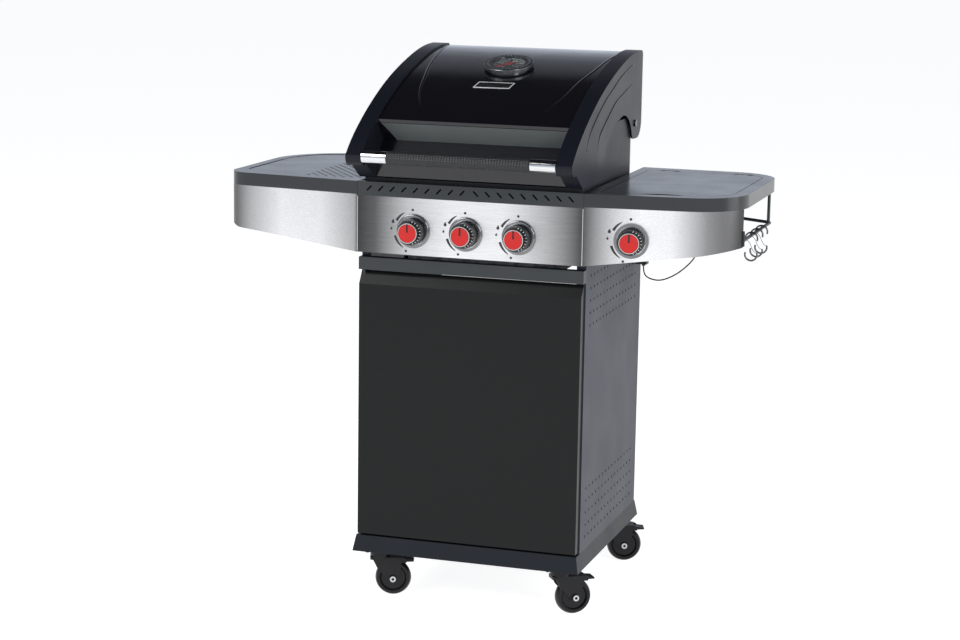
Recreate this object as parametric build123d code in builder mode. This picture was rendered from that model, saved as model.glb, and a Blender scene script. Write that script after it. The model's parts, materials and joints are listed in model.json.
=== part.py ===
from build123d import *
import math
import os

# Gas barbecue grill on a closed cart: three main burners under a hood, a side burner under a flap in
# the right shelf, a cupboard with one door, and four swivel castors.
# Millimetres. +Z is up, the door faces -Y, +X is on the right of someone standing at the front.
# x = 0 is the middle of the cupboard, y = 0 is the face of the bar above the door, z = 0 is the floor.
# Every finished piece is moved by ORIGIN_SHIFT when it is written, so that the stored frame has its
# origin on the floor under the middle of the whole grill.

# --- driving dimensions -------------------------------------------------------------------------
SHEET = 2.0                     # steel sheet of the cart
CABINET_HALF = 240.0            # half the width of the cupboard
CABINET_FRONT = 20.0            # front edge of the side panels, behind the door
CABINET_REAR = 475.0
PANEL_FRONT = -12.0             # face of the control panel

TRAY_BOTTOM = 100.0             # base tray, its flared skirt
TRAY_TOP = 134.0
CROSSBAR_BOTTOM = 699.0         # bar above the door
CROSSBAR_TOP = 725.0
PANEL_BOTTOM = 737.0            # control panel
PANEL_TOP = 854.0
SKIRT_BOTTOM = 856.0            # black edge of the side shelves
SHELF_TOP = 883.0
SIDE_PANEL_TOP = 866.0          # the firebox step rests here

WHEEL_RADIUS = 38.0             # 3 inch castors
WHEEL_WIDTH = 24.0
CASTOR_TRAIL = 28.0
CASTOR_X = 198.0
CASTOR_FRONT_Y = 28.0
CASTOR_REAR_Y = 447.0

SHELF_HALF = 545.0              # outer edge of both shelves
SHELF_FRONT_DROP = 36.0         # how far the shelf front runs back between cabinet and outer edge
FASCIA_END_Y = 95.0             # the bright fascia wraps the corner as far as here

KNOB_X = (-117.0, -5.0, 107.0)
KNOB_Z = 787.0
SIDE_KNOB_X = 336.0
SIDE_KNOB_Z = 793.0
KNOB_PUSH = 3.0                 # how far a knob is pushed in before it turns
STEM_REAR = -13.0               # rear end of the valve stems, from the panel face

HOOD_HALF = 236.0               # outer face of the hood's side caps
RIM_INNER = 202.0               # inner face of the caps' front rims
RIM_THICK = 4.0
HINGE_Y = 403.0                 # hood hinge
HINGE_Z = 985.0
HANDLE_Y = -80.0
HANDLE_Z = 942.0
HANDLE_RADIUS = 14.0

DOOR_HINGE_X = -231.0
DOOR_HINGE_Y = 10.0
FLAP_HINGE_Y = 433.0            # side burner flap
FLAP_HINGE_Z = 880.0
RAIL_X = 538.0                  # tool rail
RAIL_Z = 790.0
RAIL_RADIUS = 3.5
HOOK_Y = (300.0, 250.0, 195.0)

RUNNING = 0.05                  # radial play of every shaft in its bore
ORIGIN_SHIFT = (-3.7, -199.9, 0.0)

os.makedirs("parts", exist_ok=True)


# --- helpers ------------------------------------------------------------------------------------
def save(shape, name):
    """Label a finished piece, move it into the stored frame and write it."""
    stored = shape.moved(Location(ORIGIN_SHIFT))
    stored.label = name
    export_step(stored, f"parts/{name}.step")


def block(x, y, z, mode=Mode.ADD):
    """A box given by its (low, high) pairs along x, y and z, for the part being built."""
    spans = (x, y, z)
    with Locations(tuple((low + high) / 2 for low, high in spans)):
        Box(*[high - low for low, high in spans], mode=mode)


def rod(start, end, radius, mode=Mode.ADD):
    """A round bar between two points, for the part being built."""
    start, end = Vector(*start), Vector(*end)
    with BuildSketch(Plane(origin=start, z_dir=end - start)) as section:
        Circle(radius)
    extrude(section.sketch, amount=(end - start).length, mode=mode)


def parallel(points, distance):
    """The corners of an open outline moved to the right of its direction, with mitred corners."""
    moved = []
    for index, (u, v) in enumerate(points):
        before = points[max(index - 1, 0)]
        after = points[min(index + 1, len(points) - 1)]
        into = Vector(u - before[0], v - before[1])
        out = Vector(after[0] - u, after[1] - v)
        into = into.normalized() if into.length else out.normalized()
        out = out.normalized() if out.length else into
        middle = (into + out).normalized()
        reach = distance / middle.dot(into)
        moved.append((u + middle.Y * reach, v - middle.X * reach))
    return moved


def sheet_outline(points, thickness):
    """Closed outline of a bent sheet whose visible side is the given open outline."""
    inner = parallel(points, thickness)
    Polyline(*points, *reversed(inner), close=True)


# --- base tray and castor plates ----------------------------------------------------------------
with BuildPart() as base_tray:
    tray_y = CABINET_REAR / 2
    for inset, top, mode in ((0, TRAY_TOP, Mode.ADD), (2.5, TRAY_TOP - SHEET, Mode.SUBTRACT)):
        with BuildSketch(Plane.XY.offset(TRAY_BOTTOM)):
            with Locations((0, tray_y)):
                Rectangle(2 * (246 - inset), 499 - 2 * inset)
        with BuildSketch(Plane.XY.offset(top)):
            with Locations((0, tray_y)):
                Rectangle(2 * (240 - inset), 485 - 2 * inset)
        loft(mode=mode)
    for low, high in ((0, 56), (419, 475)):
        block((-237, 237), (low, high), (TRAY_BOTTOM, TRAY_TOP - SHEET))
        inside = (low + SHEET, high - SHEET)
        block((-235, 235), inside, (TRAY_BOTTOM + SHEET, TRAY_TOP - SHEET), Mode.SUBTRACT)
    # lower door pin
    rod((DOOR_HINGE_X, DOOR_HINGE_Y, TRAY_TOP - 1), (DOOR_HINGE_X, DOOR_HINGE_Y, TRAY_TOP + 14), 3)
save(base_tray.part, "base_tray")

CASTORS = {
    "front_left": (-CASTOR_X, CASTOR_FRONT_Y, 18),
    "front_right": (CASTOR_X, CASTOR_FRONT_Y, 35),
    "rear_left": (-CASTOR_X, CASTOR_REAR_Y, 30),
    "rear_right": (CASTOR_X, CASTOR_REAR_Y, 18),
}

with BuildPart() as castor_plates:
    for x, y, _ in CASTORS.values():
        block((x - 28, x + 28), (y - 28, y + 28), (TRAY_BOTTOM - 3, TRAY_BOTTOM))
        rod((x, y, TRAY_BOTTOM - 3), (x, y, TRAY_BOTTOM - 15), 5)
        with BuildSketch(Plane.XY.offset(TRAY_BOTTOM - 3)):
            with Locations((x, y)):
                with GridLocations(42, 42, 2, 2):
                    RegularPolygon(4.5, 6)
        extrude(amount=-3)
save(castor_plates.part, "castor_plates")


# --- one castor, built on its own plane: X along the trail, Y along the axle ---------------------
def build_castor(name, x, y, heading):
    """Fork, wheel and brake pedal of one castor that trails towards the heading, in degrees."""
    turn = math.radians(heading)
    frame = Plane(origin=(x, y, 0), x_dir=(math.cos(turn), math.sin(turn), 0))
    axle = (CASTOR_TRAIL, WHEEL_RADIUS)
    side_view = Plane(origin=(x, y, 0), x_dir=frame.x_dir, z_dir=-frame.y_dir)

    with BuildPart() as fork:
        # swivel cup with its blind bore for the king pin
        with BuildSketch(frame.offset(84)):
            Circle(21)
        extrude(amount=12.5)
        with BuildSketch(frame.offset(84)):
            Circle(5 + RUNNING)
        extrude(amount=12.5, mode=Mode.SUBTRACT)
        # bridge over the wheel
        with BuildSketch(frame.offset(78)):
            with Locations((14, 0)):
                RectangleRounded(70, 36, 8)
        extrude(amount=6)
        # two cheeks down to the axle
        for offset in (15, -18):
            with BuildSketch(side_view.offset(offset)):
                with BuildLine():
                    Polyline((-16, 82), (-6, 62), (axle[0] - 11, axle[1] - 2))
                    ThreePointArc((axle[0] - 11, axle[1] - 2), (axle[0], axle[1] - 11),
                                  (axle[0] + 11, axle[1] - 2))
                    Polyline((axle[0] + 11, axle[1] - 2), (46, 70), (48, 82), (-16, 82))
                make_face()
            extrude(amount=3)
        # axle with its screw heads
        with BuildSketch(side_view.offset(-18)):
            with Locations(axle):
                Circle(4)
        extrude(amount=36)
        for offset in (18, -22):
            with BuildSketch(side_view.offset(offset)):
                with Locations(axle):
                    Circle(7.5)
            extrude(amount=4)
        # pin that carries the brake pedal
        with BuildSketch(side_view.offset(-16)):
            with Locations((53, 76)):
                Circle(2)
        extrude(amount=32)
        for offset in (13, -16):
            with BuildSketch(side_view.offset(offset)):
                with BuildLine():
                    Polyline((40, 84), (40, 72), (56, 72), (56, 80), (48, 84), close=True)
                make_face()
            extrude(amount=3)
    save(fork.part, f"castor_fork_{name}")

    with BuildPart() as wheel:
        # tyre and hub as one turned body, with a dished face on both sides
        tread = WHEEL_WIDTH / 2
        centre = frame.origin + frame.x_dir * axle[0] + Vector(0, 0, axle[1])
        with BuildSketch(Plane(origin=centre, x_dir=(0, 0, 1), z_dir=frame.x_dir)):
            with BuildLine():
                Polyline((4 + RUNNING, 13), (9, 13), (11, 9), (25, 8), (28, tread), (34, tread))
                ThreePointArc((34, tread), (WHEEL_RADIUS, 0), (34, -tread))
                Polyline((34, -tread), (28, -tread), (25, -8), (11, -9), (9, -13), (4 + RUNNING, -13),
                         (4 + RUNNING, 13))
            make_face()
        revolve(axis=Axis(centre, frame.y_dir))
    save(wheel.part, f"castor_wheel_{name}")

    with BuildPart() as pedal:
        with BuildSketch(side_view.offset(-12.5)):
            with BuildLine():
                Polyline((49, 80), (70, 78), (72, 75), (70, 74), (57, 73.5), (56, 72), (50, 72), (49, 80))
            make_face()
        extrude(amount=25)
        with BuildSketch(side_view.offset(-12.5)):
            with Locations((53, 76)):
                Circle(2 + RUNNING)
        extrude(amount=25, mode=Mode.SUBTRACT)
    save(pedal.part, f"castor_brake_{name}")


for castor_name, (castor_x, castor_y, castor_heading) in CASTORS.items():
    build_castor(castor_name, castor_x, castor_y, castor_heading)


# --- cupboard: side panels, rear panel, crossbars -----------------------------------------------
with BuildPart() as right_side_panel:
    web = (CABINET_HALF - SHEET, CABINET_HALF)
    height = (TRAY_TOP, SIDE_PANEL_TOP)
    block(web, (CABINET_FRONT, CABINET_REAR), height)
    for edge in (CABINET_FRONT, CABINET_REAR - SHEET):
        block((CABINET_HALF - 20, CABINET_HALF), (edge, edge + SHEET), height)
    block((214, CABINET_HALF), (CABINET_FRONT, CABINET_REAR), (SIDE_PANEL_TOP - SHEET, SIDE_PANEL_TOP))
    # two fields of vent holes, five rows of fifteen
    for field_z in (657, 213):
        with BuildSketch(Plane.YZ.offset(web[0])):
            with Locations((242, field_z)):
                with GridLocations(26.2, 25.6, 15, 5):
                    Circle(3)
        extrude(amount=SHEET, mode=Mode.SUBTRACT)
save(right_side_panel.part, "right_side_panel")

with BuildPart() as left_side_panel:
    mirror(right_side_panel.part, about=Plane.YZ)
save(left_side_panel.part, "left_side_panel")

with BuildPart() as rear_panel:
    rear_face = CABINET_REAR - SHEET
    block((-web[0], web[0]), (rear_face - 1.5, rear_face), (TRAY_TOP, 420))
    block((-web[0], web[0]), (rear_face - 16, rear_face), (418.5, 420))
save(rear_panel.part, "rear_panel")

with BuildPart() as front_crossbar:
    bar_z = (CROSSBAR_BOTTOM, CROSSBAR_TOP)
    block((-CABINET_HALF, CABINET_HALF), (0, CABINET_FRONT), bar_z)
    hollow_z = (CROSSBAR_BOTTOM + SHEET, CROSSBAR_TOP - SHEET)
    block((-235, 235), (SHEET, CABINET_FRONT), hollow_z, Mode.SUBTRACT)
    # upper door pin
    rod((DOOR_HINGE_X, DOOR_HINGE_Y, CROSSBAR_BOTTOM + 1), (DOOR_HINGE_X, DOOR_HINGE_Y, 672), 3)
save(front_crossbar.part, "front_crossbar")

with BuildPart() as rear_crossbar:
    block((-web[0], web[0]), (443, rear_face), (812, 852))
    block((-web[0], web[0]), (443, rear_face - SHEET), (812 + SHEET, 852 - SHEET), Mode.SUBTRACT)
save(rear_crossbar.part, "rear_crossbar")

# --- door: a folded pan with a slanted finger pull along its top --------------------------------
with BuildPart() as door:
    with BuildSketch(Plane.YZ.offset(-237.5)):
        with BuildLine():
            Polyline((-4, 138), (-4, 670), (13.5, 696), (15, 696), (15, 138), close=True)
        make_face()
    extrude(amount=475)
    with BuildSketch(Plane.YZ.offset(-235.5)):
        with BuildLine():
            Polyline((-2, 140), (-2, 669.4), (11.5, 689.5), (15, 689.5), (15, 140), close=True)
        make_face()
    extrude(amount=471, mode=Mode.SUBTRACT)
    # blocks that turn on the two pins
    for low, high in ((138, 152), (668, 684)):
        block((-237.5, -220), (-4, 15), (low, high))
    with BuildSketch(Plane.YZ.offset(-237.5)) as above_slant:
        with BuildLine():
            Polyline((-4, 670), (13.5, 696), (-4, 696), close=True)
        make_face()
    extrude(above_slant.sketch, amount=475, mode=Mode.SUBTRACT)
    for low, high in ((138, 152), (664, 697)):
        rod((DOOR_HINGE_X, DOOR_HINGE_Y, low), (DOOR_HINGE_X, DOOR_HINGE_Y, high), 3 + RUNNING,
            Mode.SUBTRACT)
save(door.part, "door")

# --- firebox ------------------------------------------------------------------------------------
with BuildPart() as firebox:
    block((-212, 212), (40, 385), (738, 869))
    block((-230, 230), (8, 392), (SIDE_PANEL_TOP, 890))
    # raised side walls and rear wall that the hood closes over
    for side in (-230, 227):
        with BuildSketch(Plane.YZ.offset(side)):
            with BuildLine():
                Polyline((100, 890), (150, 955), (225, 1000), (392, 1000), (392, 890), close=True)
            make_face()
        extrude(amount=3)
    block((-230, 230), (389, 392), (890, 1000))
    # cooking space, step for the grate, deep tub
    block((-227, 227), (11, 389), (869, 890), Mode.SUBTRACT)
    block((-209, 209), (43, 382), (741, 869), Mode.SUBTRACT)
    # bars that carry the flame tamers
    for low, high in ((43, 51), (374, 382)):
        block((-209, 209), (low, high), (808, 812))
    # burner mouths in the front wall
    for x in KNOB_X:
        rod((x, 39, KNOB_Z), (x, 44, KNOB_Z), 14, Mode.SUBTRACT)
    # grease outlet over the drip tray
    block((-40, 40), (130, 300), (737, 742), Mode.SUBTRACT)
    # two angle runners for the drip tray
    for side in (-1, 1):
        block(sorted((side * 160, side * 162)), (60, 385), (702, 738))
        block(sorted((side * 150, side * 162)), (60, 385), (702, 704))
save(firebox.part, "firebox")

with BuildPart() as hinge_brackets:
    for side in (-1, 1):
        block(sorted((side * 196, side * 229)), (392, 395), (958, 998))
        with BuildSketch(Plane.YZ.offset(225 if side > 0 else -229)):
            with Locations((HINGE_Y, HINGE_Z)):
                Circle(13)
            with Locations(((392 + HINGE_Y) / 2, HINGE_Z)):
                Rectangle(HINGE_Y - 392, 26)
            with Locations((HINGE_Y, HINGE_Z)):
                Circle(4 + RUNNING, mode=Mode.SUBTRACT)
            with Locations((391, HINGE_Z)):
                Rectangle(2, 40, mode=Mode.SUBTRACT)
        extrude(amount=4)
save(hinge_brackets.part, "hinge_brackets")

with BuildPart() as main_burners:
    for x in KNOB_X:
        rod((x, 28, KNOB_Z), (x, 368, KNOB_Z), 12.5)
        rod((x, 28, KNOB_Z), (x, 366, KNOB_Z), 11, Mode.SUBTRACT)
        # collar against the front wall, foot at the rear
        rod((x, 43, KNOB_Z), (x, 46, KNOB_Z), 18)
        rod((x, 43, KNOB_Z), (x, 46, KNOB_Z), 11, Mode.SUBTRACT)
        block((x - 12, x + 12), (368, 371), (741, KNOB_Z + 8))
        # gas ports along both shoulders
        for side in (-1, 1):
            shoulder = Plane(origin=(x, 205, KNOB_Z), x_dir=(0, 1, 0), z_dir=(side, 0, 1))
            with BuildSketch(shoulder):
                with GridLocations(22, 1, 13, 1):
                    Circle(1.6)
            extrude(amount=20, mode=Mode.SUBTRACT)
save(main_burners.part, "main_burners")

with BuildPart() as flame_tamers:
    for x in KNOB_X:
        with BuildSketch(Plane.XZ.offset(-376)):
            with BuildLine():
                sheet_outline([(x - 50, 812), (x - 50, 818), (x, 842), (x + 50, 818), (x + 50, 812)], 1.5)
            make_face()
        extrude(amount=376 - 48)
save(flame_tamers.part, "flame_tamers")

RACK_X = 216.0                  # legs of the warming rack
RACK_Y = (262.0, 372.0)
RACK_Z = 972.0

with BuildPart() as cooking_grate:
    with BuildSketch(Plane.XY.offset(869)):
        with Locations((0, 200)):
            RectangleRounded(446, 370, 6)
            # slots between the bars of the two halves
            for half in (-1, 1):
                with Locations((half * 112, 0)):
                    with GridLocations(15, 170, 14, 2):
                        SlotOverall(158, 8, rotation=90, mode=Mode.SUBTRACT)
            Rectangle(2, 380, mode=Mode.SUBTRACT)
    extrude(amount=11)
    # notches for the legs of the warming rack
    for side in (-1, 1):
        for y in RACK_Y:
            notch = sorted((side * (RACK_X - 3.5), side * 224))
            block(notch, (y - 3.5, y + 3.5), (868, 881), Mode.SUBTRACT)
save(cooking_grate.part, "cooking_grate")

with BuildPart() as warming_rack:
    for y in RACK_Y:
        rod((-RACK_X, y, RACK_Z), (RACK_X, y, RACK_Z), 3)
    for x in (-RACK_X, RACK_X):
        rod((x, RACK_Y[0], RACK_Z), (x, RACK_Y[1], RACK_Z), 3)
        for y in RACK_Y:
            rod((x, y, 869), (x, y, RACK_Z), 3)
    for index in range(7):
        y = RACK_Y[0] + (index + 0.5) * (RACK_Y[1] - RACK_Y[0]) / 7
        rod((-RACK_X, y, RACK_Z), (RACK_X, y, RACK_Z), 1.75)
save(warming_rack.part, "warming_rack")

# --- control panel ------------------------------------------------------------------------------
SIDE_SLOPE = SHELF_FRONT_DROP / (SHELF_HALF - CABINET_HALF)
SIDE_KNOB_Y = PANEL_FRONT + (SIDE_KNOB_X - CABINET_HALF) * SIDE_SLOPE
SIDE_NORMAL = Vector(SIDE_SLOPE, -1, 0).normalized()

# planes that lie on the panel face under each knob, with Z pointing out towards the cook
KNOB_PLANES = [Plane((x, PANEL_FRONT, KNOB_Z), x_dir=(1, 0, 0), z_dir=(0, -1, 0)) for x in KNOB_X]
KNOB_PLANES.append(Plane((SIDE_KNOB_X, SIDE_KNOB_Y, SIDE_KNOB_Z), x_dir=(1, SIDE_SLOPE, 0),
                         z_dir=SIDE_NORMAL))

with BuildPart() as control_panel:
    panel_x = (-239.5, 239.5)
    panel_z = (PANEL_BOTTOM, PANEL_TOP)
    block(panel_x, (PANEL_FRONT, PANEL_FRONT + SHEET), panel_z)
    block(panel_x, (PANEL_FRONT, 8), (PANEL_TOP - SHEET, PANEL_TOP))
    block(panel_x, (PANEL_FRONT, 16), (PANEL_BOTTOM, PANEL_BOTTOM + SHEET))
    for side in (-1, 1):
        flange = sorted((side * 237.5, side * 239.5))
        block(flange, (PANEL_FRONT, 2), panel_z)
        # ear that is screwed to the side panel
        block(flange, (PANEL_FRONT, CABINET_FRONT), (812, PANEL_TOP))
    for x in KNOB_X:
        rod((x, PANEL_FRONT - 1, KNOB_Z), (x, PANEL_FRONT + 3, KNOB_Z), 7, Mode.SUBTRACT)
save(control_panel.part, "control_panel")

with BuildPart() as vent_strip:
    block(panel_x, (PANEL_FRONT, PANEL_FRONT + SHEET), (PANEL_TOP, SHELF_TOP))
    block(panel_x, (PANEL_FRONT, 8), (SHELF_TOP - SHEET, SHELF_TOP))
    # nine slots lean to the right, nine to the left
    for side, lean in ((-1, 45), (1, -45)):
        with BuildSketch(Plane.XZ.offset(-PANEL_FRONT)):
            with Locations((side * 114, 870)):
                with GridLocations(24.9, 1, 9, 1):
                    SlotOverall(15, 3.4, rotation=lean)
        extrude(amount=-SHEET, mode=Mode.SUBTRACT)
save(vent_strip.part, "vent_strip")

with BuildPart() as knob_bezels:
    for plane in KNOB_PLANES:
        with BuildSketch(plane):
            Circle(35)
            Circle(29.5, mode=Mode.SUBTRACT)
        extrude(amount=6)
    outer_edges = knob_bezels.edges().filter_by(GeomType.CIRCLE).filter_by(lambda e: e.radius > 34)
    fillet([edge for edge in outer_edges if KNOB_PLANES[0].to_local_coords(edge.center()).Z > 5], 2.5)
save(knob_bezels.part, "knob_bezels")

INLET_X = -290.0                # gas inlet, where the hose is pushed on from below

with BuildPart() as gas_manifold:
    rod((INLET_X, 12, KNOB_Z), (350, 12, KNOB_Z), 6)
    # elbow with the hose nipple under the left shelf, end cap at the right
    rod((INLET_X, 12, KNOB_Z + 8), (INLET_X, 12, 768), 8)
    rod((INLET_X, 12, 768), (INLET_X, 12, 756), 5)
    rod((346, 12, KNOB_Z), (354, 12, KNOB_Z), 8)
    for plane in KNOB_PLANES:
        with BuildSketch(plane.offset(-23)):
            Rectangle(24, 26)
        extrude(amount=19)
        with BuildSketch(plane.offset(-4)):
            Circle(8)
        extrude(amount=1.5)
        # blind bore that the valve stem is pushed into
        with BuildSketch(plane.offset(STEM_REAR - KNOB_PUSH - 1)):
            Circle(4 + RUNNING)
        extrude(amount=15, mode=Mode.SUBTRACT)
save(gas_manifold.part, "gas_manifold")


def build_knob(number, plane):
    """A valve stem that is pushed in, and the knob that turns on it."""
    with BuildPart() as stem:
        with BuildSketch(plane.offset(STEM_REAR)):
            Circle(4)
        extrude(amount=36)
    save(stem.part, f"valve_stem_{number}")

    with BuildPart() as knob:
        with BuildSketch(plane.offset(8)):
            Circle(27.5)
        extrude(amount=19, taper=6)
        # round button in front, with a raised pointer across it
        with BuildSketch(plane.offset(27)):
            Circle(20.5)
        extrude(amount=12)
        fillet(knob.edges().filter_by(GeomType.CIRCLE).sort_by(
            lambda edge: plane.to_local_coords(edge.center()).Z)[-1], 2.5)
        with BuildSketch(plane.offset(39)):
            with Locations((0, 9)):
                Rectangle(3.4, 15)
        extrude(amount=-1.2, mode=Mode.SUBTRACT)
        # finger flutes around the black body
        with BuildSketch(plane.offset(14)):
            with PolarLocations(28.5, 24):
                Circle(2)
        extrude(amount=14, mode=Mode.SUBTRACT)
        with BuildSketch(plane.offset(8)):
            Circle(4 + RUNNING)
        extrude(amount=16, mode=Mode.SUBTRACT)
    save(knob.part, f"knob_{number}")


for knob_number, knob_plane in enumerate(KNOB_PLANES, start=1):
    build_knob(knob_number, knob_plane)


# --- side shelves -------------------------------------------------------------------------------
def rounded_shelf(shape, height, inset=0.0):
    """Flat face of a right-hand shelf's plan, moved in by the inset.

    The shape gives the radii of the front and rear corners and the y of the rear edge.
    """
    front_radius, rear_radius, rear = shape
    with BuildSketch(Plane.XY.offset(height)) as plan:
        Polygon((CABINET_HALF, PANEL_FRONT), (SHELF_HALF, PANEL_FRONT + SHELF_FRONT_DROP),
                (SHELF_HALF, rear), (CABINET_HALF, rear), align=None)
        for place, radius in ((0, front_radius), (-1, rear_radius)):
            outer = plan.vertices().filter_by(lambda v: abs(v.X - SHELF_HALF) < 0.1).sort_by(Axis.Y)
            fillet(outer[place], radius)
        if inset:
            offset(amount=-inset, mode=Mode.REPLACE)
    return plan.sketch


def build_shelf_top(shape):
    """A right-hand shelf as a plain drawn pan, open underneath."""
    extrude(rounded_shelf(shape, SKIRT_BOTTOM), amount=SHELF_TOP - SKIRT_BOTTOM)
    inside = rounded_shelf(shape, SKIRT_BOTTOM, SHEET)
    extrude(inside, amount=SHELF_TOP - SHEET - SKIRT_BOTTOM, mode=Mode.SUBTRACT)


def build_fascia(shape, lower_edge):
    """A right-hand bright front strip; lower_edge gives (x, z) points of its rising lower edge."""
    low = PANEL_BOTTOM - 1
    extrude(rounded_shelf(shape, low), amount=SKIRT_BOTTOM - low)
    extrude(rounded_shelf(shape, low, 1.5), amount=SKIRT_BOTTOM - 2 - low, mode=Mode.SUBTRACT)
    # the turned-in top flange stays as a narrow ledge under the shelf
    extrude(rounded_shelf(shape, SKIRT_BOTTOM - 2, 14), amount=2, mode=Mode.SUBTRACT)
    block((200, 600), (FASCIA_END_Y, 600), (low, SKIRT_BOTTOM), Mode.SUBTRACT)
    block((200, 262), (-5, 600), (low, SKIRT_BOTTOM), Mode.SUBTRACT)
    with BuildSketch(Plane.XZ.offset(-200)) as under:
        with BuildLine():
            Polyline((200, 700), (200, 732), *lower_edge, (560, 700), close=True)
        make_face()
    extrude(under.sketch, amount=300, mode=Mode.SUBTRACT)


LEFT_SHAPE = (50.0, 160.0, 447.0)
RIGHT_SHAPE = (115.0, 95.0, CABINET_REAR)

with BuildPart() as plain_shelf:
    build_shelf_top(LEFT_SHAPE)

with BuildPart() as left_shelf:
    mirror(plain_shelf.part, about=Plane.YZ)
save(left_shelf.part, "left_shelf")

with BuildPart() as plain_fascia:
    build_fascia(LEFT_SHAPE, [(476, 763), (520, 767), (560, 779)])

with BuildPart() as left_fascia:
    mirror(plain_fascia.part, about=Plane.YZ)
save(left_fascia.part, "left_fascia")

with BuildPart() as right_fascia:
    build_fascia(RIGHT_SHAPE, [(476, 768), (530, 777), (560, 782)])
    with BuildSketch(KNOB_PLANES[3].offset(1)):
        Circle(7)
    extrude(amount=-5, mode=Mode.SUBTRACT)
    # inward end flange that carries the tool rail
    block((518, SHELF_HALF - 1), (FASCIA_END_Y - 2, FASCIA_END_Y), (781, 812))
save(right_fascia.part, "right_fascia")


# --- side burner under a flap -------------------------------------------------------------------
def flap_plan(height, grow=0.0):
    """Flat face of the burner flap: straight on three sides, following the shelf at the front."""
    with BuildSketch(Plane.XY.offset(height)) as plan:
        Polygon((264, 22), (517, 52), (517, 428), (264, 428), align=None)
        fillet(plan.vertices().filter_by(lambda v: v.X > 500).sort_by(Axis.Y)[0], 92)
        fillet(plan.vertices().filter_by(lambda v: v.X > 500).sort_by(Axis.Y)[-1], 40)
        fillet(plan.vertices().filter_by(lambda v: v.X < 265), 6)
        if grow:
            offset(amount=grow, mode=Mode.REPLACE)
    return plan.sketch


FLAP_LUGS = (310.0, 470.0)      # middle of the two hinge knuckles
BURNER_X = 388.0
BURNER_Y = 225.0
WELL_FLOOR = 848.0

with BuildPart() as right_shelf:
    build_shelf_top(RIGHT_SHAPE)
    # sunk tray under the flap
    extrude(flap_plan(874, 3.5), amount=SHELF_TOP - 874)
    extrude(flap_plan(876, 1.5), amount=SHELF_TOP - 876, mode=Mode.SUBTRACT)
    # burner well in the middle of the tray
    for half, low, mode in ((104, WELL_FLOOR - 2, Mode.ADD), (102, WELL_FLOOR, Mode.SUBTRACT)):
        block((BURNER_X - half, BURNER_X + half), (BURNER_Y - half, BURNER_Y + half), (low, 876), mode)
    rod((BURNER_X, BURNER_Y, WELL_FLOOR - 3), (BURNER_X, BURNER_Y, WELL_FLOOR + 1), 9.3, Mode.SUBTRACT)
    # room behind the flap for its knuckles, and the lugs with the hinge pins
    for x in FLAP_LUGS:
        block((x - 20, x + 20), (FLAP_HINGE_Y - 4, FLAP_HINGE_Y + 6), (876, SHELF_TOP), Mode.SUBTRACT)
        for low, high in ((x - 20, x - 11), (x + 11, x + 20)):
            block((low, high), (FLAP_HINGE_Y - 2.5, FLAP_HINGE_Y + 6), (874, SHELF_TOP - 0.5))
        rod((x - 20, FLAP_HINGE_Y, FLAP_HINGE_Z), (x + 20, FLAP_HINGE_Y, FLAP_HINGE_Z), 1.5)
save(right_shelf.part, "right_shelf")

with BuildPart() as side_burner_lid:
    extrude(flap_plan(SHELF_TOP - 5), amount=5)
    extrude(flap_plan(SHELF_TOP - 5, -1.5), amount=3, mode=Mode.SUBTRACT)
    # finger scallop in the front edge
    with BuildSketch(Plane.XY.offset(SHELF_TOP - 5)):
        with Locations((392, -40)):
            Circle(90)
    extrude(amount=5, mode=Mode.SUBTRACT)
    for x in FLAP_LUGS:
        block((x - 21, x + 21), (FLAP_HINGE_Y - 9, FLAP_HINGE_Y), (SHELF_TOP - 5, SHELF_TOP), Mode.SUBTRACT)
        block((x - 10, x + 10), (FLAP_HINGE_Y - 16, FLAP_HINGE_Y), (FLAP_HINGE_Z - 1.5, SHELF_TOP))
        rod((x - 10, FLAP_HINGE_Y, FLAP_HINGE_Z), (x + 10, FLAP_HINGE_Y, FLAP_HINGE_Z), 3)
        rod((x - 10, FLAP_HINGE_Y, FLAP_HINGE_Z), (x + 10, FLAP_HINGE_Y, FLAP_HINGE_Z), 1.5 + RUNNING,
            Mode.SUBTRACT)
save(side_burner_lid.part, "side_burner_lid")

with BuildPart() as side_burner:
    centre = (BURNER_X, BURNER_Y)
    for radius, low, high in ((26, WELL_FLOOR, 858), (34, 858, 866), (27, 866, 869)):
        rod((*centre, low), (*centre, high), radius)
    with BuildSketch(Plane.XY.offset(858)):
        with Locations(centre):
            with PolarLocations(34, 24):
                Circle(1.6)
    extrude(amount=5, mode=Mode.SUBTRACT)
    # mixing tube under the well, bent down towards the valve
    rod((*centre, 822), (*centre, WELL_FLOOR), 9)
    rod((BURNER_X, BURNER_Y, 829), (SIDE_KNOB_X - 1, 32, SIDE_KNOB_Z + 6), 8)
save(side_burner.part, "side_burner")

with BuildPart() as pot_support:
    with BuildSketch(Plane.XY.offset(862)):
        with Locations(centre):
            Circle(86)
            Circle(80, mode=Mode.SUBTRACT)
    extrude(amount=6)
    for angle in range(0, 360, 60):
        turn = math.radians(angle)
        arm = Plane(origin=(*centre, 862), x_dir=(math.cos(turn), math.sin(turn), 0))
        with BuildSketch(arm):
            with Locations((66, 0)):
                Rectangle(56, 5)
        extrude(amount=12)
        with BuildSketch(arm.offset(WELL_FLOOR - 862)):
            with Locations((88, 0)):
                Rectangle(12, 5)
        extrude(amount=14)
save(pot_support.part, "pot_support")

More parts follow.
